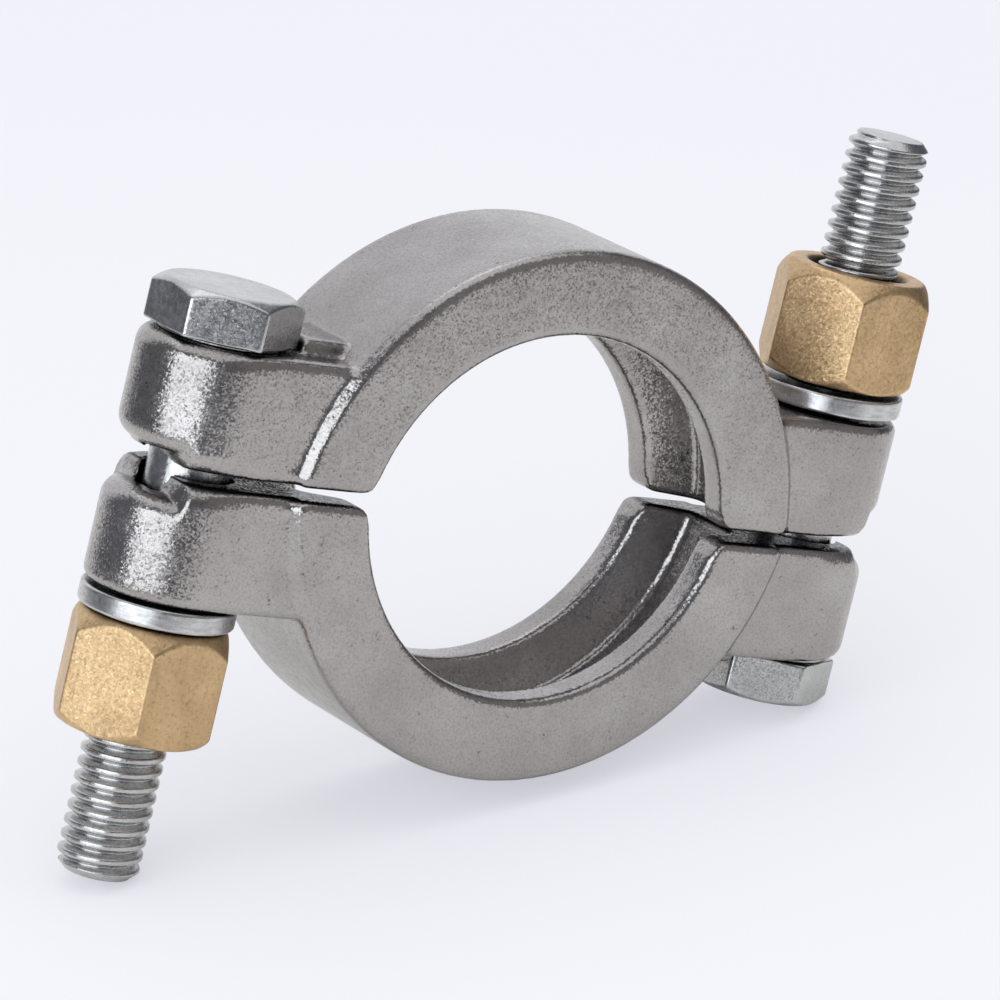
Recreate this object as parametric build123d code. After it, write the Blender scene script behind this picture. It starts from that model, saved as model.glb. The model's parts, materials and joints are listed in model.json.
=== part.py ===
from build123d import *
import os
from math import acos, cos, degrees, radians, sin, sqrt, tan

# Two-piece, two-bolt pipe clamp for flanged sanitary ferrules.  Two equal cast half rings
# carry an ear at each end; two hex bolts, one pointing up and one pointing down, draw them
# together over the ferrule flanges, which seat in the tapered groove inside the ring.
# +X runs from bolt to bolt, +Y along the pipe and +Z along the bolts.
# The origin is the centre of the opening.  All sizes are in millimetres.

# ---- half ring ----
LIP_R = 20.4             # inside of the two lips
GROOVE_DEPTH = 5.0       # from the lips to the bottom of the groove
RING_WALL = 3.3          # from the bottom of the groove to the outside
RING_WIDTH = 16.9        # along the pipe
GROOVE_MOUTH = 10.0      # groove width between the lips
FLANK_ANGLE = 20.0       # each flank, from the plane square to the pipe
OUTER_EDGE_R = 1.0       # rounding of the outer rims
LIP_EDGE_R = 0.8         # rounding of the lips
GROOVE_ROOT_R = 0.6      # rounding at the bottom of the groove
PARTING_GAP = 1.2        # between the two halves
ARC_OVERRUN = 2.55       # each half's arc centre lies this far beyond the parting plane
PARTING_EDGE_R = 0.8     # rounding all round each end
LIP_END_R = 1.6          # larger rounding of the lips' ends

# ---- bolts ----
BOLT_D = 7.94
BOLT_STANDOFF = 6.8      # from the outside of the ring to the axis of a bolt
BOLT_LENGTH = 51.8       # under the head
HEAD_FLATS = 12.6
HEAD_HEIGHT = 4.8        # with the washer face
HEAD_TOP_INSET = 0.4     # from the flats in to the rim of the top
HEAD_CHAMFER = 30.0      # from the top face
WASHER_FACE_INSET = 0.35 # from the flats in to the rim of the washer face
WASHER_FACE_T = 0.3
POINT_CHAMFER = 0.8

# ---- nuts ----
NUT_FLATS = 14.3
NUT_HEIGHT = 11.1
NUT_CROWN_INSET = 0.45   # from the flats in to the flat face at the crowned end
NUT_CROWN_ANGLE = 54.0
NUT_BASE_INSET = 0.15    # from the flats in to the flat face at the plain end
NUT_BASE_ANGLE = 45.0
NUT_MOUTH_W = 1.08       # countersink at both ends, from the bore out to its rim
NUT_MOUTH_ANGLE = 45.0
NUT_TURN_LEFT = 2.7      # each nut's turn on its bolt, in degrees
NUT_TURN_RIGHT = 0.8
THREAD_CLEARANCE = 0.05  # radial, nut on bolt

# ---- lock washers ----
LOCK_CLEARANCE = 0.23    # radial, washer on bolt
LOCK_SECTION_W = 3.2
LOCK_T = 2.0
LOCK_RISE_LEFT = 0.3     # spring left in each washer, end above end
LOCK_RISE_RIGHT = 0.9
LOCK_SPLIT = 8.0         # degrees missing at the split

# ---- ears ----
EAR_SEAT_Z = 12.2        # seat of head or washer, from the middle plane
EAR_STEP = 1.0           # from the rim of the ring in to the side of an ear
EAR_EDGE_R = 0.8         # rounding of the rims of the ears
EAR_BLEND_R = 2.4        # concave blend from an ear's side out to the rim of the ring
EAR_TOP_BLEND_R = 1.0    # concave blend from an ear's seat up to the ring
BOLT_HOLE_CLEARANCE = 0.4
LEDGE_HEIGHT = 1.5       # step beside the head, above the seat
LEDGE_WIDTH = 8.2
HEAD_CLEARANCE = 0.2     # from the step to the flat of the head
RELIEF_START = 3.6       # outboard of the bolt axis
HEAD_EAR_RELIEF = 1.1    # depth at the parting side of the ear under the head
HEAD_EAR_RAMP = 1.2
NUT_EAR_RELIEF = 1.8     # depth at the parting side of the ear under the nut
NUT_EAR_RAMP = 0.5
RELIEF_CHAMFER = 0.4     # at the rims of the reliefs

# ---- derived places ----
groove_r = LIP_R + GROOVE_DEPTH
ring_r = groove_r + RING_WALL
bolt_x = ring_r + BOLT_STANDOFF
ear_width = RING_WIDTH - 2 * EAR_STEP
half_gap = PARTING_GAP / 2
hole_r = BOLT_D / 2 + BOLT_HOLE_CLEARANCE
ledge_x = bolt_x - HEAD_FLATS / 2 - HEAD_CLEARANCE
ear_root_x = LIP_R
reach = 4 * ring_r


def ring_body():
    """Full ring about the pipe axis, grooved inside."""
    side = RING_WIDTH / 2
    mouth = GROOVE_MOUTH / 2
    root = mouth - GROOVE_DEPTH * tan(radians(FLANK_ANGLE))
    outline = Polyline(
        (ring_r, -side),
        (ring_r, side),
        (LIP_R, side),
        (LIP_R, mouth),
        (groove_r, root),
        (groove_r, -root),
        (LIP_R, -mouth),
        (LIP_R, -side),
        close=True,
    )
    section = make_face(outline)
    corners = section.vertices()
    outer = corners.filter_by(lambda v: abs(v.X - ring_r) < 1e-3)
    section = fillet(outer, OUTER_EDGE_R)
    roots = section.vertices().filter_by(lambda v: abs(v.X - groove_r) < 1e-3)
    section = fillet(roots, GROOVE_ROOT_R)
    lips = section.vertices().filter_by(lambda v: abs(v.X - LIP_R) < 1e-3)
    section = fillet(lips, LIP_EDGE_R)
    return revolve(section, Axis.Y, 360)


def lug(start_x, end_x, bottom, top):
    """Flat-sided lug along X, round at end_x, between two heights."""
    plan = Pos(start_x, 0) * Rectangle(abs(end_x - start_x), ear_width, align=(Align.MIN, Align.CENTER))
    plan += Pos(end_x, 0) * Circle(ear_width / 2)
    return Pos(0, 0, bottom) * extrude(plan, top - bottom)


def relief(depth, ramp):
    """Cutter that steps back the parting side of an ear outboard of the bolt."""
    start = bolt_x + RELIEF_START
    outline = Polyline(
        (start, half_gap - 1),
        (start, half_gap),
        (start + ramp, half_gap + depth),
        (reach, half_gap + depth),
        (reach, half_gap - 1),
        close=True,
    )
    return extrude(Plane.XZ * make_face(outline), ear_width, both=True)


def lip_end_cutter():
    """Rounds the corner where the lips meet the parting plane, at +X."""
    lip_x = sqrt(LIP_R**2 - (half_gap + ARC_OVERRUN) ** 2)
    corner = Pos(lip_x, half_gap) * Rectangle(2 * LIP_END_R, 2 * LIP_END_R)
    corner -= Pos(lip_x + LIP_END_R, half_gap + LIP_END_R) * Circle(LIP_END_R)
    corner &= Pos(lip_x - LIP_END_R, half_gap - LIP_END_R) * Rectangle(
        4 * LIP_END_R, 4 * LIP_END_R
    )
    return extrude(Plane.XZ * corner, RING_WIDTH, both=True)


def clamp_half():
    """Upper half: the ear under the bolt head at -X, the ear under the nut at +X."""
    above = Pos(0, 0, half_gap) * Box(reach, reach, reach, align=(Align.CENTER, Align.CENTER, Align.MIN))
    ring = Pos(0, 0, -ARC_OVERRUN) * ring_body() & above
    ring = fillet(ring.edges().group_by(Axis.Z)[0], PARTING_EDGE_R)
    ring = ring - lip_end_cutter() - mirror(lip_end_cutter(), Plane.YZ)

    nut_ear = ear(NUT_EAR_RELIEF, NUT_EAR_RAMP)
    head_ear = ear(HEAD_EAR_RELIEF, HEAD_EAR_RAMP)

    ledge = Pos(ear_root_x, 0, half_gap) * Box(
        ledge_x - ear_root_x,
        LEDGE_WIDTH,
        EAR_SEAT_Z + LEDGE_HEIGHT - half_gap,
        align=(Align.MIN, Align.CENTER, Align.MIN),
    )
    crest = ledge.edges().group_by(Axis.Z)[-1].filter_by(lambda e: e.center().X > ear_root_x + 0.1)
    ledge = fillet(crest, EAR_EDGE_R)
    head_ear = mirror(head_ear + ledge, Plane.YZ)

    inside = Pos(0, 0, -ARC_OVERRUN) * Rot(X=90) * Cylinder(ring_r - OUTER_EDGE_R, reach)
    half = ring + (nut_ear - inside) + (head_ear - inside)
    half = half + (Pos(0, 0, -ARC_OVERRUN) * ear_blend() & ear_band())
    seat_ends = half.edges().filter_by(Axis.Y).filter_by(is_seat_end)
    half = fillet(seat_ends, EAR_TOP_BLEND_R)
    for x in (-bolt_x, bolt_x):
        half -= Pos(x, 0, 0) * Cylinder(hole_r, reach)
    return half


def ear(depth, ramp):
    """Ear at +X with rounded rims and its relief."""
    piece = lug(ear_root_x, bolt_x, half_gap, EAR_SEAT_Z)
    rims = piece.edges().filter_by(lambda e: e.center().X > ear_root_x + 1 and not is_upright(e))
    piece = fillet(rims, EAR_EDGE_R) - relief(depth, ramp)
    floor_z = half_gap + depth
    rim = piece.edges().filter_by(lambda e: abs(e.center().Z - floor_z) < 0.01 and not is_across(e))
    return chamfer(rim, RELIEF_CHAMFER)


def ear_blend():
    """Concave blend from the width of the ears out to the rim, all round the ring."""
    side = RING_WIDTH / 2
    ear_side = ear_width / 2
    both_r = OUTER_EDGE_R + EAR_BLEND_R
    lean = acos(1 - (side - ear_side) / both_r)
    rim_x = ring_r - OUTER_EDGE_R
    foot_x = rim_x + both_r * sin(lean)
    curve = CenterArc((foot_x, ear_side + EAR_BLEND_R), EAR_BLEND_R, 270 - degrees(lean), degrees(lean))
    back = Polyline(
        curve @ 1,
        (foot_x, ear_side - OUTER_EDGE_R),
        (rim_x, ear_side - OUTER_EDGE_R),
        curve @ 0,
    )
    blend = revolve(make_face([curve, *back.edges()]), Axis.Y, 360)
    return blend + mirror(blend, Plane.XZ)


def ear_band():
    """The heights between the rounded rims of the ears."""
    low = half_gap + EAR_EDGE_R
    high = EAR_SEAT_Z - EAR_EDGE_R
    return Pos(0, 0, low) * Box(reach, reach, high - low, align=(Align.CENTER, Align.CENTER, Align.MIN))


def is_seat_end(edge):
    """True for the edge where an ear's seat meets the ring."""
    ring_x = sqrt(ring_r**2 - (EAR_SEAT_Z + ARC_OVERRUN) ** 2)
    spot = edge.center()
    return abs(spot.Z - EAR_SEAT_Z) < 0.01 and abs(abs(spot.X) - ring_x) < 0.01


def is_across(edge):
    """True for an edge that runs along Y."""
    box = edge.bounding_box()
    return box.size.Y > 1 and box.size.X < 0.01 and box.size.Z < 0.01


def is_upright(edge):
    """True for an edge that runs along Z."""
    box = edge.bounding_box()
    return box.size.Z > 1 and box.size.X < 0.01 and box.size.Y < 0.01


def bolt():
    """Hex bolt, head up, seated on the upper ear at -X."""
    corner_r = HEAD_FLATS
    top_r = HEAD_FLATS / 2 - HEAD_TOP_INSET
    drop = (corner_r - top_r) * tan(radians(HEAD_CHAMFER))
    hexagon = extrude(
        RegularPolygon(HEAD_FLATS / 2, 6, major_radius=False, rotation=30),
        HEAD_HEIGHT - WASHER_FACE_T,
    )
    crown = make_face(
        Plane.XZ
        * Polyline(
            (0, 0),
            (corner_r, 0),
            (corner_r, HEAD_HEIGHT - drop),
            (top_r, HEAD_HEIGHT),
            (0, HEAD_HEIGHT),
            close=True,
        )
    )
    head = Pos(0, 0, WASHER_FACE_T) * hexagon & revolve(crown, Axis.Z, 360)
    face = extrude(Circle(HEAD_FLATS / 2 - WASHER_FACE_INSET), WASHER_FACE_T)
    shank = extrude(Circle(BOLT_D / 2), -BOLT_LENGTH)
    shank = chamfer(shank.edges().group_by(Axis.Z)[0], POINT_CHAMFER)
    return Pos(-bolt_x, 0, EAR_SEAT_Z) * (head + face + shank)


def nut(turn):
    """Tall hex nut on its base at z = 0, crowned end up, bore on the Z axis."""
    bore_r = BOLT_D / 2 + THREAD_CLEARANCE
    mouth_r = bore_r + NUT_MOUTH_W
    crown_r = NUT_FLATS / 2 - NUT_CROWN_INSET
    base_r = NUT_FLATS / 2 - NUT_BASE_INSET
    mouth = NUT_MOUTH_W * tan(radians(NUT_MOUTH_ANGLE))
    prism = extrude(RegularPolygon(NUT_FLATS / 2, 6, major_radius=False, rotation=turn), NUT_HEIGHT)
    cone_up = Cone(crown_r + reach, crown_r, reach * tan(radians(NUT_CROWN_ANGLE)))
    cone_up = Pos(0, 0, NUT_HEIGHT - reach * tan(radians(NUT_CROWN_ANGLE)) / 2) * cone_up
    cone_down = Cone(base_r, base_r + reach, reach * tan(radians(NUT_BASE_ANGLE)))
    cone_down = Pos(0, 0, reach * tan(radians(NUT_BASE_ANGLE)) / 2) * cone_down
    body = prism & cone_up & cone_down
    bore = make_face(
        Plane.XZ
        * Polyline(
            (0, 0),
            (mouth_r, 0),
            (bore_r, mouth),
            (bore_r, NUT_HEIGHT - mouth),
            (mouth_r, NUT_HEIGHT),
            (0, NUT_HEIGHT),
            close=True,
        )
    )
    return body - revolve(bore, Axis.Z, 360)


def lock_washer(rise):
    """Split spring washer on z = 0, one turn of a helix, its split towards the back."""
    turn = (360 - LOCK_SPLIT) / 360
    mean_r = BOLT_D / 2 + LOCK_CLEARANCE + LOCK_SECTION_W / 2
    path = Helix(rise / turn, rise, mean_r)
    bar = Plane(origin=path @ 0, x_dir=(1, 0, 0), z_dir=(0, 1, 0)) * Rectangle(LOCK_SECTION_W, LOCK_T)
    coil = sweep(bar, path, is_frenet=True)
    return Pos(0, 0, LOCK_T / 2) * Rot(Z=90 + LOCK_SPLIT / 2) * coil


turned = Rot(Y=180)
left_nut_z = EAR_SEAT_Z + LOCK_T + LOCK_RISE_LEFT
right_nut_z = EAR_SEAT_Z + LOCK_T + LOCK_RISE_RIGHT

upper = clamp_half()
left_bolt = bolt()
nodes = {
    "clamp_half_upper": upper,
    "clamp_half_lower": turned * upper,
    "bolt_left": left_bolt,
    "bolt_right": turned * left_bolt,
    "lock_washer_left": turned * Pos(bolt_x, 0, EAR_SEAT_Z) * lock_washer(LOCK_RISE_LEFT),
    "lock_washer_right": Pos(bolt_x, 0, EAR_SEAT_Z) * lock_washer(LOCK_RISE_RIGHT),
    "nut_left": Pos(-bolt_x, 0, -left_nut_z - NUT_HEIGHT) * nut(NUT_TURN_LEFT),
    "nut_right": Pos(bolt_x, 0, right_nut_z) * nut(NUT_TURN_RIGHT),
}

os.makedirs("parts", exist_ok=True)
for name, piece in nodes.items():
    export_step(piece, f"parts/{name}.step")
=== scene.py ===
import json
from math import atan, cos, pi, radians, sin, sqrt, tan

import bpy
import numpy as np
from mathutils import Matrix, Vector

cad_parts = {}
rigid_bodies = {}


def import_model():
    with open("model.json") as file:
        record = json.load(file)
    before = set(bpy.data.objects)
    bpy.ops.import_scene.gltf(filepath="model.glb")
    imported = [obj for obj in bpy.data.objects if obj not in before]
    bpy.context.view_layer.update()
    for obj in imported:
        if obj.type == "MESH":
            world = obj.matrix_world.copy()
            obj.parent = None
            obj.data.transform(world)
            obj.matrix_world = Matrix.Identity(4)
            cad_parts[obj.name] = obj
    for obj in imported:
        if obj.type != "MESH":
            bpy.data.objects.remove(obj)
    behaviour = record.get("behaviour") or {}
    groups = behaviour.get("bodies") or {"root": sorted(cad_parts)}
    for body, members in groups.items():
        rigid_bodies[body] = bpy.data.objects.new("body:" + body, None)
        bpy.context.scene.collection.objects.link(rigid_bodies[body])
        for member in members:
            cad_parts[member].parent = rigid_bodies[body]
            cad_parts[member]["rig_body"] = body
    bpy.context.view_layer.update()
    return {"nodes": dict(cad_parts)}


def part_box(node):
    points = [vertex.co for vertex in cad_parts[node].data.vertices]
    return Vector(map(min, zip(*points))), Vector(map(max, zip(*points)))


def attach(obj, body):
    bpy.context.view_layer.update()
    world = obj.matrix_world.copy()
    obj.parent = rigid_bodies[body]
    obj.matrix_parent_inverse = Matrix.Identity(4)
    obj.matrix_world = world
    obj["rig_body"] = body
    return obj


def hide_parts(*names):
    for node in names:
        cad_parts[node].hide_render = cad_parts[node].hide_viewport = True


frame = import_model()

nodes = frame["nodes"]
MM = 0.001
TINY = 1e-9
HALF_TURN = Matrix.Rotation(pi, 4, "Y")

# Sizes are in millimetres and follow the CAD's.  Places come from the frame.

# ---- bolts ----
PITCH = 1.411            # 5/16-18 thread, right-hand
THREAD_DEPTH = 0.72
THREAD_LENGTH = 28.5     # from the point
THREAD_RUNOUT = 2.2      # over which it fades into the shank
THREAD_STEP = 0.09       # between the rings of points along the thread
ROOT_FLAT = 0.06         # share of half a pitch left plain at the root, and at the crest
CREST_FLAT = 0.26
ROUNDNESS = 0.75         # of the flanks, from straight to a cosine
BOLT_R = 3.97
HEAD_HEIGHT = 4.8        # from the seat to the top
HEAD_FLATS = 12.6
HEAD_CORNER = 30.0       # angle of one corner, in degrees
HEAD_CORNER_R = 0.4
HEAD_TOP_R = 5.9
HEAD_CHAMFER = 30.0
HEAD_EDGE_R = 0.28
WASHER_FACE_R = 5.95
WASHER_FACE_T = 0.3
NECK = (0.4, 0.6)        # fillet under the head, across and along
POINT_CHAMFER = 0.8
POINT_EASE = 0.25        # further in at the very end
CAP_R = 1.0              # inner ring of points of the flat ends

# ---- nuts ----
NUT_FLATS = 14.3
NUT_CROWN_R = 6.7
NUT_CROWN_ANGLE = 54.0
NUT_BASE_R = 7.0
NUT_BASE_ANGLE = 45.0
NUT_MOUTH_R = 5.1
NUT_CORNER_R = 0.35
NUT_EDGE_R = 0.3
NUT_THREAD_STEP = 0.1
NUT_THREAD_FADE = 8      # steps over which the thread fades at each mouth
NUT_PLAY = 0.05          # between the threads of bolt and nut
NUT_TURN = {"nut_left": 2.7, "nut_right": 0.8}   # angle of one corner, in degrees

# ---- lock washers ----
WASHER_R = 7.4
WASHER_SECTION_W = 3.2
WASHER_SECTION_T = 2.0
WASHER_EDGE_R = 0.35
WASHER_SPLIT = 8.0       # in degrees, at the back
WASHER_SPLIT_AT = 90.0
WASHER_STEPS = 120

# ---- cast halves, each in the frame of the upper one ----
CAST_VOXEL = 0.30        # fineness of the cast skin
SMOOTHING = {"factor": 0.5, "iterations": 4}
EAR_R = 7.45             # round end of an ear, and half its width
EAR_SEAT_Z = 12.2
PARTING_Z = 0.6
HEAD_SEAT_ROUND = 1.7    # rounding of an ear's rim under the head
NUT_SEAT_ROUND = 1.0     # the same under the washer
EAR_FOOT_ROUND = 1.9     # the same on the parting side
RELIEF_START = 3.6       # outboard of the bolt, where the parting side steps back
RELIEF_HEAD = (1.1, 1.2) # depth and ramp, on the ear that carries the head
RELIEF_NUT = (1.8, 0.5)  # the same, on the ear that carries the nut
ROUND_FROM = 33.0        # the larger rounding fades in over these distances from the middle
ROUND_FULL = 38.0
ARC_OVERRUN = 2.55       # the ring's axis lies this far beyond the parting plane
RING_SIDE = 8.45         # half the width of the ring
BLEND_OUT = 29.15        # radii where the step from ear to ring starts and ends
BLEND_IN = 27.9
STEP_OVERLAP = 1.3       # how far out the CAD's own, gentler step reaches past BLEND_OUT
STEP_SKIN = 0.15         # points this little inside the ear's side belong to the step too
STEP_END = (0.3, 1.5)    # the steeper step leaves the ear's two faces alone, and fades in near them

# ---- how the clamp lies, and the camera; angles in degrees ----
REST_UP = Vector((-0.2929, -0.0356, 0.9555))    # up, where it lies on a bolt end and a head
REST_DEPTH = 28.4                               # from the origin down to the floor
CAMERA_AZIMUTH = -36.36                         # about Z, 0 being in front of the clamp
CAMERA_ELEVATION = 10.88
CAMERA_DISTANCE = 576.1
CAMERA_AIM = Vector((-0.18, -0.03, -0.52))
CAMERA_ROLL = 0.17
CAMERA_LENS = 217.9
CAMERA_SENSOR = 36
CAMERA_CLIP = (0.01, 20)


# ------------------------------------------------------------------ shapes


def hexagon_radius(angle, corner, flats, corner_r):
    """Distance from the axis to a hexagon with rounded corners, one corner at angle corner."""
    off = abs((angle - corner + pi / 6) % (pi / 3) - pi / 6)
    centre = (flats / 2 - corner_r) / cos(pi / 6)
    if off < atan(corner_r * sin(pi / 6) / (centre + corner_r * cos(pi / 6))):
        return centre * cos(off) + sqrt(corner_r**2 - (centre * sin(off)) ** 2)
    return flats / 2 / cos(pi / 6 - off)


def round_table(corner):
    """Angles round an axis, closer together near the six corners."""
    near = (-4, -2.9, -2.0, -1.2, -0.4, 0.4, 1.2, 2.0, 2.9, 4)
    between = (7, 11, 16, 21, 26, 30, 34, 39, 44, 49, 53)
    offsets = near + between
    return [corner + radians(60 * side + offset) for side in range(6) for offset in offsets]


def eased(corners, radius, steps=4):
    """Open outline with each inner corner rounded; corners are (r, z) pairs."""
    corners = [Vector(c) for c in corners]
    points = [corners[0]]
    for before, corner, after in zip(corners, corners[1:], corners[2:]):
        back, on = before - corner, after - corner
        cut = min(radius, 0.45 * back.length, 0.45 * on.length)
        start = corner + back.normalized() * cut
        end = corner + on.normalized() * cut
        for i in range(steps + 1):
            t = i / steps
            points.append(start * (1 - t) ** 2 + corner * 2 * t * (1 - t) + end * t * t)
    return points + [corners[-1]]


def thread_cut(angle, height):
    """Depth of the thread at an angle round the bolt and a height above a crest at angle 0."""
    turn = (height / PITCH - angle / (2 * pi)) % 1
    ridge = abs(2 * turn - 1)
    rise = (ridge - ROOT_FLAT) / (1 - ROOT_FLAT - CREST_FLAT)
    rise = min(1, max(0, rise))
    rise = (1 - ROUNDNESS) * rise + ROUNDNESS * (0.5 - 0.5 * cos(pi * rise))
    return THREAD_DEPTH * (1 - rise)


def around(columns, place):
    """Points in metres from columns of (r, angle, z) points."""
    points = [point for column in columns for point in column]
    return [place @ Vector((r * cos(a), r * sin(a), z)) * MM for r, a, z in points]


def skin(name, columns, closed, place):
    """Mesh over columns of (r, angle, z) points, joined round; closed joins a column's ends too."""
    count = len(columns[0])
    points = around(columns, place)
    faces = []
    for i in range(len(columns)):
        j = (i + 1) % len(columns)
        for k in range(count if closed else count - 1):
            m = (k + 1) % count
            faces.append((i * count + k, i * count + m, j * count + m, j * count + k))
    if not closed:
        faces.append([i * count for i in range(len(columns))])
        faces.append([i * count + count - 1 for i in reversed(range(len(columns)))])
    return finish_mesh(name, points, faces)


def added(name, data):
    """A new object in the scene."""
    thing = bpy.data.objects.new(name, data)
    bpy.context.scene.collection.objects.link(thing)
    return thing


def finish_mesh(name, points, faces):
    """Smooth-shaded piece that keeps its flat faces flat to the eye."""
    mesh = bpy.data.meshes.new(name)
    mesh.from_pydata(points, [], faces)
    mesh.validate()
    mesh.shade_smooth()
    piece = added(name, mesh)
    even = piece.modifiers.new("even_normals", "WEIGHTED_NORMAL")
    even.weight = 80
    return piece


def bolt(name, node, turned):
    """Hex bolt in place of a node, head up or turned half a turn about Y, and its seat's height."""
    low, high = (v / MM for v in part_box(node))
    centre = (low + high) / 2
    length = high.z - low.z
    corner = radians(HEAD_CORNER)
    point = HEAD_HEIGHT - length
    thread_top = point + THREAD_LENGTH
    columns = []
    for angle in round_table(corner):
        side = hexagon_radius(angle, corner, HEAD_FLATS, HEAD_CORNER_R)
        drop = (side - HEAD_TOP_R) * tan(radians(HEAD_CHAMFER))
        outline = eased(
            [
                (CAP_R, HEAD_HEIGHT),
                (HEAD_TOP_R, HEAD_HEIGHT),
                (side, HEAD_HEIGHT - drop),
                (side, WASHER_FACE_T),
                (WASHER_FACE_R, WASHER_FACE_T),
                (WASHER_FACE_R, 0),
                (BOLT_R + NECK[0], 0),
                (BOLT_R, -NECK[1]),
                (BOLT_R, thread_top),
            ],
            HEAD_EDGE_R,
        )
        column = [(p.x, angle, p.y) for p in outline]
        steps = int((thread_top - point) / THREAD_STEP)
        for i in range(1, steps + 1):
            z = thread_top - (thread_top - point) * i / steps
            fade = min(1, (thread_top - z) / THREAD_RUNOUT)
            r = BOLT_R - fade * thread_cut(angle, z)
            column.append((min(r, BOLT_R - POINT_CHAMFER + (z - point)), angle, z))
        column.append((BOLT_R - POINT_CHAMFER - POINT_EASE, angle, point))
        column.append((CAP_R, angle, point))
        columns.append(column)
    seat = low.z + length - HEAD_HEIGHT
    if turned:
        seat = high.z - length + HEAD_HEIGHT
    place = Matrix.Translation((centre.x, centre.y, seat))
    if turned:
        place = place @ HALF_TURN
    return skin(name, columns, False, place), seat


def nut(name, node, crest):
    """Hex nut in place of a node, crown up; crest is the height of a thread crest at angle 0."""
    low, high = (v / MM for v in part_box(node))
    centre = (low + high) / 2
    top = high.z - low.z
    corner = radians(NUT_TURN[node])
    columns = []
    for angle in round_table(corner):
        side = hexagon_radius(angle, corner, NUT_FLATS, NUT_CORNER_R)
        base = (side - NUT_BASE_R) * tan(radians(NUT_BASE_ANGLE))
        crown = (side - NUT_CROWN_R) * tan(radians(NUT_CROWN_ANGLE))
        mouth = NUT_MOUTH_R - BOLT_R
        outline = eased(
            [
                (BOLT_R, mouth),
                (NUT_MOUTH_R, 0),
                (NUT_BASE_R, 0),
                (side, base),
                (side, top - crown),
                (NUT_CROWN_R, top),
                (NUT_MOUTH_R, top),
                (BOLT_R, top - mouth),
            ],
            NUT_EDGE_R,
        )
        column = [(p.x, angle, p.y) for p in outline]
        steps = int((top - 2 * mouth) / NUT_THREAD_STEP)
        for i in range(steps + 1):
            z = top - mouth - (top - 2 * mouth) * i / steps
            fade = min(1, i / NUT_THREAD_FADE, (steps - i) / NUT_THREAD_FADE)
            r = BOLT_R + NUT_PLAY - fade * thread_cut(angle, z + low.z - crest)
            column.append((r, angle, z))
        columns.append(column)
    return skin(name, columns, True, Matrix.Translation((centre.x, centre.y, low.z)))


def lock_washer(name, node, turned):
    """Split spring washer in place of a node: a bar of rounded section, one turn of a helix."""
    low, high = (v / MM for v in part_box(node))
    centre = (low + high) / 2
    rise = high.z - low.z - WASHER_SECTION_T
    w, t = WASHER_SECTION_W / 2, WASHER_SECTION_T / 2
    mean = WASHER_R - w
    bar = eased([(0, -t), (w, -t), (w, t), (-w, t), (-w, -t), (0, -t)], WASHER_EDGE_R)[:-1]
    rings = []
    for i in range(WASHER_STEPS + 1):
        share = i / WASHER_STEPS
        angle = radians(WASHER_SPLIT_AT + WASHER_SPLIT / 2 + (360 - WASHER_SPLIT) * share)
        rings.append([(mean + p.x, angle, t + p.y + rise * share) for p in bar])
    place = Matrix.Translation((centre.x, 0, low.z))
    if turned:
        place = Matrix.Translation((centre.x, 0, high.z)) @ HALF_TURN
    count = len(bar)
    points = around(rings, place)
    faces = []
    for i in range(len(rings) - 1):
        for k in range(count):
            m = (k + 1) % count
            faces.append((i * count + k, (i + 1) * count + k, (i + 1) * count + m, i * count + m))
    faces.append(list(range(count)))
    faces.append([(len(rings) - 1) * count + k for k in reversed(range(count))])
    return finish_mesh(name, points, faces)


def applied(piece, kind, **settings):
    """Adds a modifier to a piece and makes its result the piece's mesh."""
    modifier = piece.modifiers.new("shape", kind)
    for key, value in settings.items():
        setattr(modifier, key, value)
    evaluated = piece.evaluated_get(bpy.context.evaluated_depsgraph_get())
    done = bpy.data.meshes.new_from_object(evaluated)
    piece.modifiers.clear()
    old, piece.data = piece.data, done
    bpy.data.meshes.remove(old)


def rounded(a, b, radius, share):
    """How far points at depths a and b inside two faces move in, onto a rounding between them."""
    over_a, over_b = np.maximum(radius - a, 0), np.maximum(radius - b, 0)
    far = np.hypot(over_a, over_b)
    outside = (far > radius) & (over_a > 0) & (over_b > 0)
    pull = np.where(outside, (1 - radius / np.maximum(far, TINY)) * share, 0)
    return over_a * pull, over_b * pull


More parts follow.
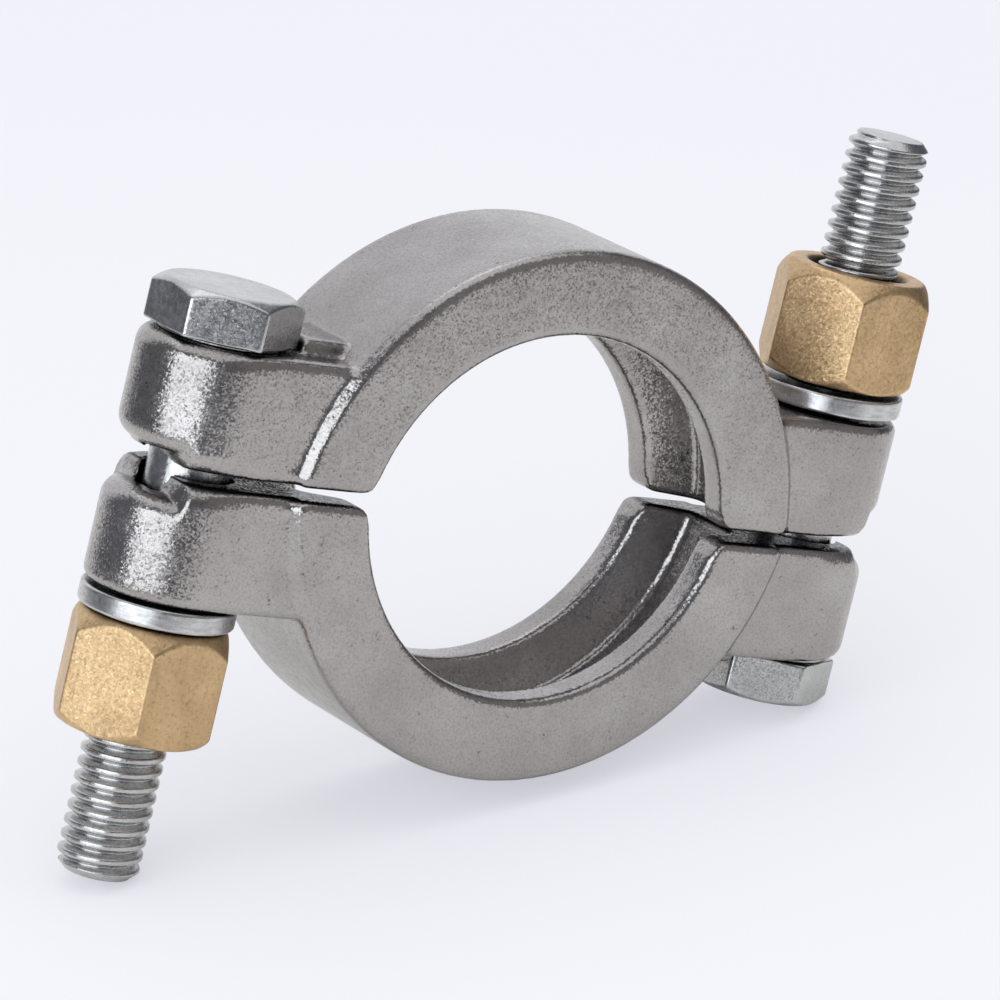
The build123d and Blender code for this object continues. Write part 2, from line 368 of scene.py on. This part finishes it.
def cast_half(name, node, turned):
    """Soft cast skin over a half: the CAD's shape, remeshed, with fuller rims round the ears."""
    piece = added(name, nodes[node].data.copy())
    applied(piece, "REMESH", mode="VOXEL", voxel_size=CAST_VOXEL * MM, use_smooth_shade=True)
    mesh = piece.data
    flat = np.empty(len(mesh.vertices) * 3)
    mesh.vertices.foreach_get("co", flat)
    points = flat.reshape(-1, 3) / MM
    if turned:
        points[:, (0, 2)] *= -1
    bolt_x = abs(sum(v[0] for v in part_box("bolt_left")) / 2 / MM)
    x, y, z = points.T
    side = np.sign(x)
    out = np.abs(x) - bolt_x
    beyond = np.maximum(out, 0)
    reach = np.maximum(np.hypot(beyond, y), TINY)
    wall = EAR_R - reach
    share = np.clip((np.abs(x) - ROUND_FROM) / (ROUND_FULL - ROUND_FROM), 0, 1)
    depth = np.where(side < 0, RELIEF_HEAD[0], RELIEF_NUT[0])
    ramp = np.where(side < 0, RELIEF_HEAD[1], RELIEF_NUT[1])
    foot = PARTING_Z + depth * np.clip((out - RELIEF_START) / ramp, 0, 1)
    seat_round = np.where(side < 0, HEAD_SEAT_ROUND, NUT_SEAT_ROUND)
    in_top, down = rounded(wall, EAR_SEAT_Z - z, seat_round, share)
    in_foot, up = rounded(wall, z - foot, EAR_FOOT_ROUND, share)
    inward = in_top + in_foot
    points[:, 0] -= inward * side * beyond / reach
    points[:, 1] -= inward * y / reach
    points[:, 2] += up - down
    from_axis = np.hypot(x, z + ARC_OVERRUN)
    climb = np.clip((BLEND_OUT - from_axis) / (BLEND_OUT - BLEND_IN), 0, 1)
    step = EAR_R + (RING_SIDE - EAR_R) * climb**2 * (3 - 2 * climb)
    margin, ramp_in = STEP_END
    above = np.clip((z - PARTING_Z - margin) / ramp_in, 0, 1)
    below = np.clip((EAR_SEAT_Z - margin - z) / ramp_in, 0, 1)
    in_blend = (from_axis > BLEND_IN) & (from_axis < BLEND_OUT + STEP_OVERLAP)
    on_step = in_blend & (np.abs(y) > EAR_R - STEP_SKIN)
    points[:, 1] += np.where(on_step, above * below, 0) * (np.sign(y) * step - y)
    if turned:
        points[:, (0, 2)] *= -1
    mesh.vertices.foreach_set("co", (points * MM).ravel())
    mesh.update()
    applied(piece, "SMOOTH", **SMOOTHING)
    return piece


# --------------------------------------------------------------- materials


class Tree:
    """Shader nodes of a material or a world, added one after another."""

    def __init__(self, owner):
        owner.use_nodes = True
        self.tree = owner.node_tree

    def add(self, kind, **settings):
        node = self.tree.nodes.new("ShaderNode" + kind)
        for key, value in settings.items():
            setattr(node, key, value)
        return node

    def link(self, source, socket):
        self.tree.links.new(source, socket)

    def blend(self, factor, a, b):
        """Colour from a to b; each is a colour or a socket."""
        node = self.add("Mix", data_type="RGBA")
        self.link(factor, node.inputs["Factor"])
        for source, socket in ((a, node.inputs["A"]), (b, node.inputs["B"])):
            if isinstance(source, tuple):
                socket.default_value = (*source, 1)
            else:
                self.link(source, socket)
        return node.outputs["Result"]

    def smooth_share(self, source, start, full):
        """0 at start, 1 at full, and smooth between them."""
        node = self.add("MapRange", interpolation_type="SMOOTHSTEP")
        node.inputs["From Min"].default_value = start
        node.inputs["From Max"].default_value = full
        self.link(source, node.inputs["Value"])
        return node.outputs["Result"]


class Graph(Tree):
    """A metal's nodes: patterns in, one principled shader out."""

    def __init__(self, name):
        self.material = bpy.data.materials.new(name)
        super().__init__(self.material)
        self.shader = self.tree.nodes["Principled BSDF"]
        self.place = self.add("TexCoord").outputs["Object"]

    def stretched(self, x, y, z):
        """Place scaled along each axis, for a pattern with a direction."""
        node = self.add("Mapping")
        node.inputs["Scale"].default_value = (x, y, z)
        self.link(self.place, node.inputs["Vector"])
        return node.outputs["Vector"]

    def noise(self, size_mm, detail=2.0, rough=0.5, where=None):
        """Cloudy factor; size_mm is about the size of its patches."""
        node = self.add("TexNoise")
        node.inputs["Scale"].default_value = 1 / (size_mm * MM)
        node.inputs["Detail"].default_value = detail
        node.inputs["Roughness"].default_value = rough
        self.link(where or self.place, node.inputs["Vector"])
        return node.outputs["Fac"]

    def ramp(self, source, stops):
        """Value or colour from a factor; stops are (position, value) pairs."""
        node = self.add("ValToRGB")
        ramp = node.color_ramp
        while len(ramp.elements) < len(stops):
            ramp.elements.new(0.5)
        for element, (position, value) in zip(ramp.elements, stops):
            element.position = position
            colour = value if isinstance(value, tuple) else (value,) * 3
            element.color = (*colour, 1)
        self.link(source, node.inputs["Fac"])
        return node.outputs["Color"]

    def times(self, a, b, factor=1.0):
        """Two colours multiplied; a factor under 1 keeps more of the first."""
        node = self.add("Mix", data_type="RGBA", blend_type="MULTIPLY")
        node.inputs["Factor"].default_value = factor
        self.link(a, node.inputs["A"])
        self.link(b, node.inputs["B"])
        return node.outputs["Result"]

    def bump(self, source, depth_mm, strength=1.0, under=None):
        """Normal from a height, over another normal where one is given."""
        node = self.add("Bump")
        node.inputs["Distance"].default_value = depth_mm * MM
        node.inputs["Strength"].default_value = strength
        self.link(source, node.inputs["Height"])
        if under:
            self.link(under, node.inputs["Normal"])
        return node.outputs["Normal"]

    def grains(self, size_mm, tilt, under):
        """Fine crystal facets, each leaning a little its own way."""
        cells = self.add("TexVoronoi")
        cells.inputs["Scale"].default_value = 1 / (size_mm * MM)
        self.link(self.place, cells.inputs["Vector"])
        lean = self.add("VectorMath", operation="MULTIPLY_ADD")
        self.link(cells.outputs["Color"], lean.inputs[0])
        lean.inputs[1].default_value = (tilt,) * 3
        lean.inputs[2].default_value = (-tilt / 2,) * 3
        total = self.add("VectorMath", operation="ADD")
        self.link(lean.outputs["Vector"], total.inputs[0])
        self.link(under, total.inputs[1])
        unit = self.add("VectorMath", operation="NORMALIZE")
        self.link(total.outputs["Vector"], unit.inputs[0])
        return unit.outputs["Vector"]

    def painted_crevice_shade(self, reach_mm, darkest, shut=0.25, clear=0.85):
        """Painted shade: dark in narrow gaps and corners, where less light reaches, plain on open
        faces.
        """
        node = self.add("AmbientOcclusion", samples=8)
        node.inputs["Distance"].default_value = reach_mm * MM
        return self.ramp(node.outputs["AO"], [(shut, darkest), (clear, 1.0)])

    def painted_parting_shade(self):
        """Painted shade: dark on the two parting faces, which lie in the shade of the other half.
        """
        reach_mm = 2.0           # height over the parting plane that the ramp spans
        split = self.add("SeparateXYZ")
        self.link(self.place, split.inputs[0])
        height = self.add("Math", operation="ABSOLUTE")
        self.link(split.outputs["Z"], height.inputs[0])
        scaled = self.add("Math", operation="MULTIPLY")
        self.link(height.outputs[0], scaled.inputs[0])
        scaled.inputs[1].default_value = 1 / (reach_mm * MM)
        return self.ramp(scaled.outputs[0], [(0.33, 0.22), (0.42, 1.0)])

    def finish(self, colour, roughness, normal, metallic=1.0):
        """Links the three patterns to the shader and gives the material."""
        self.shader.inputs["Metallic"].default_value = metallic
        self.link(colour, self.shader.inputs["Base Color"])
        self.link(roughness, self.shader.inputs["Roughness"])
        self.link(normal, self.shader.inputs["Normal"])
        return self.material


def cast_stainless():
    """Tumbled investment casting: warm grey, satin, finely grained, with painted shade in the gaps
    and on the parting faces.
    """
    g = Graph("tumbled_cast_stainless")
    darker, lighter = (0.325, 0.306, 0.299), (0.415, 0.398, 0.394)
    cloud = g.ramp(g.noise(9, 5, 0.6), [(0.32, darker), (0.68, lighter)])
    grain = g.ramp(g.noise(0.24, 2, 0.6), [(0.34, 0.82), (0.50, 1.0), (0.70, 1.08)])
    pits = g.ramp(g.noise(0.8, 3, 0.65), [(0.27, 0.45), (0.34, 1.0)])
    colour = g.times(g.times(cloud, grain), pits)
    # painted shade: darker in the gaps and corners, where less light reaches
    colour = g.times(colour, g.painted_crevice_shade(4.0, 0.04, 0.42, 0.74))
    # painted shade on the parting faces, where the other half shades them
    colour = g.times(colour, g.painted_parting_shade())
    rough = g.ramp(g.noise(1.2, 4), [(0.3, 0.12), (0.7, 0.26)])
    waves = g.bump(g.noise(4.0, 2), 0.07)
    normal = g.grains(0.17, 0.17, g.bump(g.noise(0.40, 3, 0.6), 0.026, under=waves))
    return g.finish(colour, rough, normal, metallic=0.95)


def bolt_steel():
    """Bright forged and rolled stainless, mottled on the head."""
    g = Graph("bright_bolt_steel")
    darker, lighter = (0.44, 0.44, 0.445), (0.565, 0.565, 0.565)
    cloud = g.ramp(g.noise(3, 3), [(0.3, darker), (0.7, lighter)])
    grain = g.ramp(g.noise(0.30, 3, 0.6), [(0.32, 0.5), (0.50, 1.0)])
    rough = g.ramp(g.noise(0.6, 3), [(0.3, 0.18), (0.7, 0.30)])
    normal = g.grains(0.13, 0.08, g.bump(g.noise(0.25, 2, 0.6), 0.006))
    # painted shade in the thread roots and under the head, where less light reaches
    colour = g.times(g.times(cloud, grain, 0.35), g.painted_crevice_shade(2.0, 0.16, 0.14, 0.42))
    return g.finish(colour, rough, normal)


def washer_steel():
    """Polished spring steel with fine marks along the coil."""
    g = Graph("polished_washer_steel")
    darker, lighter = (0.50, 0.50, 0.51), (0.64, 0.64, 0.645)
    cloud = g.ramp(g.noise(2, 3), [(0.3, darker), (0.7, lighter)])
    along = g.stretched(0.15, 0.15, 1.0)
    lines = g.ramp(g.noise(0.25, 3, 0.6, along), [(0.3, 0.70), (0.6, 1.0)])
    rough = g.ramp(g.noise(0.6, 3), [(0.3, 0.24), (0.7, 0.36)])
    normal = g.bump(g.noise(0.5, 2), 0.012)
    # painted shade in the washer's gaps and corners
    colour = g.times(g.times(cloud, lines), g.painted_crevice_shade(1.0, 0.3))
    return g.finish(colour, rough, normal)


def nut_brass():
    """Drawn brass bar, machined, with handling marks."""
    g = Graph("nut_brass")
    darker, lighter = (0.52, 0.355, 0.195), (0.67, 0.475, 0.27)
    cloud = g.ramp(g.noise(4, 3), [(0.3, darker), (0.7, lighter)])
    along = g.stretched(1.0, 1.0, 0.08)
    drawn = g.ramp(g.noise(0.5, 3, 0.6, along), [(0.3, 0.92), (0.6, 1.0)])
    spots = g.ramp(g.noise(0.35, 3, 0.65), [(0.30, 0.70), (0.45, 1.0), (0.70, 1.10)])
    rough = g.ramp(g.noise(0.5, 3), [(0.3, 0.34), (0.7, 0.50)])
    normal = g.grains(0.16, 0.18, g.bump(g.noise(1.2, 3, 0.6), 0.020))
    # painted shade in the nut's thread and corners
    colour = g.times(g.times(g.times(cloud, drawn), spots), g.painted_crevice_shade(3.0, 0.10, 0.30, 0.80))
    return g.finish(colour, rough, normal)


# ------------------------------------------------------------------ pieces

finishes = {
    "cast_stainless": cast_stainless(),
    "bolt_steel": bolt_steel(),
    "washer_steel": washer_steel(),
    "nut_brass": nut_brass(),
}


def put(piece, node, slot):
    """The piece stands for a node, rides with it and takes a slot's finish."""
    piece.data.materials.clear()
    piece.data.materials.append(finishes[slot])
    paint(node, slot)
    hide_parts(node)
    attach(piece, nodes[node]["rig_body"])


def paint(node, slot):
    """The hidden CAD node gets the same finish."""
    materials = nodes[node].data.materials
    for i in range(len(materials)):
        materials[i] = finishes[slot]
    if not materials:
        materials.append(finishes[slot])


upper_half = cast_half("upper_half_cast", "clamp_half_upper", turned=False)
lower_half = cast_half("lower_half_cast", "clamp_half_lower", turned=True)
left_bolt, left_seat = bolt("bolt_left_threaded", "bolt_left", turned=False)
right_bolt, right_seat = bolt("bolt_right_threaded", "bolt_right", turned=True)
left_nut = nut("nut_left_threaded", "nut_left", crest=left_seat)
right_nut = nut("nut_right_threaded", "nut_right", crest=right_seat - PITCH / 2)
left_washer = lock_washer("washer_left_sprung", "lock_washer_left", turned=True)
right_washer = lock_washer("washer_right_sprung", "lock_washer_right", turned=False)

put(upper_half, "clamp_half_upper", "cast_stainless")
put(lower_half, "clamp_half_lower", "cast_stainless")
put(left_bolt, "bolt_left", "bolt_steel")
put(right_bolt, "bolt_right", "bolt_steel")
put(left_nut, "nut_left", "nut_brass")
put(right_nut, "nut_right", "nut_brass")
put(left_washer, "lock_washer_left", "washer_steel")
put(right_washer, "lock_washer_right", "washer_steel")


# ------------------------------------------------------------------- stage

PALE = (0.872, 0.872, 0.965)      # what the camera sees behind the clamp
PAPER = (0.88, 0.88, 0.88)
PAPER_GLOW = 0.6         # how much of the paper the camera sees as plain background
FLOOR_R = 420
FLOOR_SEGMENTS = 96
FLOOR_FADE = (120, 400)  # the paper turns into background between these distances
DAYLIGHT = 0.66          # soft light from all round, which the metal doesn't mirror
ROOM = (0.135, 0.142, 0.165)      # what the metal mirrors, with the two patches below on it
SIDE_WALL = {"colour": (0.30, 0.29, 0.28), "azimuth": 42, "elevation": 16, "reach": 28, "soft": 18}
BACKDROP = {"colour": (0.95, 0.96, 1.0), "azimuth": 166, "elevation": 25, "reach": 44, "soft": 9}
LAMPS = {
    "key": {
        "azimuth": -62,
        "elevation": 20,
        "wide": 0.96,
        "tall": 0.72,
        "power": 5.4,
        "colour": (0.92, 0.965, 1.0),
    },
    "top": {
        "azimuth": 60,
        "elevation": 84,
        "wide": 1.2,
        "tall": 1.2,
        "power": 4.0,
        "colour": (1, 1, 1),
    },
}
LAMP_DISTANCE = 0.9
rest = Vector((0, 0, 1)).rotation_difference(REST_UP).to_matrix().to_4x4()


def direction(azimuth, elevation):
    """Unit vector towards an angle round the clamp, 0 being in front, and an angle above it."""
    a, e = radians(azimuth), radians(elevation)
    return Vector((sin(a) * cos(e), -cos(a) * cos(e), sin(e)))


def floor_paper():
    """White paper that takes a soft shadow, fades out at its rim and isn't seen from below."""
    material = bpy.data.materials.new("floor_paper")
    g = Tree(material)
    shader = g.tree.nodes["Principled BSDF"]
    shader.inputs["Base Color"].default_value = (*PAPER, 1)
    shader.inputs["Roughness"].default_value = 0.9
    shader.inputs["Specular IOR Level"].default_value = 0.1
    away = g.add("VectorMath", operation="LENGTH")
    g.link(g.add("TexCoord").outputs["Object"], away.inputs[0])
    faded = g.smooth_share(away.outputs["Value"], *(d * MM for d in FLOOR_FADE))
    gone = g.add("Math", operation="MAXIMUM")
    g.link(faded, gone.inputs[0])
    g.link(g.add("NewGeometry").outputs["Backfacing"], gone.inputs[1])
    glow = g.add("Emission")
    glow.inputs["Color"].default_value = (*PALE, 1)
    seen = g.add("Math", operation="MULTIPLY")
    g.link(g.add("LightPath").outputs["Is Camera Ray"], seen.inputs[0])
    seen.inputs[1].default_value = PAPER_GLOW
    clear = g.add("BsdfTransparent")
    paper, whole = g.add("MixShader"), g.add("MixShader")
    for mix, factor, a, b in (
        (paper, seen.outputs["Value"], shader.outputs["BSDF"], glow.outputs["Emission"]),
        (whole, gone.outputs["Value"], paper.outputs["Shader"], clear.outputs["BSDF"]),
    ):
        g.link(factor, mix.inputs["Fac"])
        g.link(a, mix.inputs[1])
        g.link(b, mix.inputs[2])
    g.link(whole.outputs["Shader"], g.tree.nodes["Material Output"].inputs["Surface"])
    return material


def floor():
    """Round pale floor under the clamp as it lies."""
    points = [Vector((0, 0, 0))]
    faces = []
    for i in range(FLOOR_SEGMENTS):
        a = 2 * pi * i / FLOOR_SEGMENTS
        points.append(Vector((FLOOR_R * cos(a), FLOOR_R * sin(a), 0)))
        faces.append((0, i + 1, (i + 1) % FLOOR_SEGMENTS + 1))
    place = Matrix.Translation(REST_UP * -REST_DEPTH) @ rest
    mesh = bpy.data.meshes.new("floor")
    mesh.from_pydata([(place @ p) * MM for p in points], [], faces)
    mesh.materials.append(floor_paper())
    added("floor", mesh)


def world():
    """Pale background.  The metal mirrors a lit backdrop behind the clamp, else a dim room."""
    sky = bpy.data.worlds.new("studio")
    bpy.context.scene.world = sky
    g = Tree(sky)
    look = g.add("TexCoord").outputs["Generated"]

    def patched(under, colour, azimuth, elevation, reach, soft):
        """What the metal mirrors, with a soft round patch of another colour; angles in degrees."""
        towards = g.add("VectorMath", operation="DOT_PRODUCT")
        g.link(look, towards.inputs[0])
        towards.inputs[1].default_value = rest.to_3x3() @ direction(azimuth, elevation)
        rim, core = cos(radians(reach + soft)), cos(radians(reach - soft))
        share = g.smooth_share(towards.outputs["Value"], rim, core)
        return g.blend(share, under, colour)

    ray = g.add("LightPath").outputs
    mirrored_room = patched(patched(ROOM, **SIDE_WALL), **BACKDROP)
    unseen = g.blend(ray["Is Glossy Ray"], (DAYLIGHT,) * 3, mirrored_room)
    colour = g.blend(ray["Is Camera Ray"], unseen, PALE)
    g.link(colour, g.tree.nodes["Background"].inputs["Color"])


def softbox(name, azimuth, elevation, wide, tall, power, colour):
    """Area light on the floor's own horizon, aimed at the clamp."""
    light = bpy.data.lights.new(name, "AREA")
    light.shape = "RECTANGLE"
    light.size, light.size_y = wide, tall
    light.energy = power
    light.color = colour
    lamp = added(name, light)
    towards = rest.to_3x3() @ direction(azimuth, elevation)
    lamp.location = towards * LAMP_DISTANCE
    lamp.rotation_mode = "QUATERNION"
    lamp.rotation_quaternion = towards.to_track_quat("Z", "Y")


def camera():
    """Camera at the photograph's angle, level with the floor but for a slight roll."""
    back = direction(CAMERA_AZIMUTH, CAMERA_ELEVATION)
    right = REST_UP.cross(back).normalized()
    up = back.cross(right)
    turn = Matrix((right, up, back)).transposed() @ Matrix.Rotation(radians(CAMERA_ROLL), 3, "Z")
    data = bpy.data.cameras.new("camera")
    data.lens, data.sensor_width = CAMERA_LENS, CAMERA_SENSOR
    data.clip_start, data.clip_end = CAMERA_CLIP
    eye = added("camera", data)
    place = Matrix.Translation((CAMERA_AIM + back * CAMERA_DISTANCE) * MM)
    eye.matrix_world = place @ turn.to_4x4()
    bpy.context.scene.camera = eye


floor()
world()
for lamp, settings in LAMPS.items():
    softbox(lamp, **settings)
camera()
bpy.context.scene.view_settings.view_transform = "Standard"
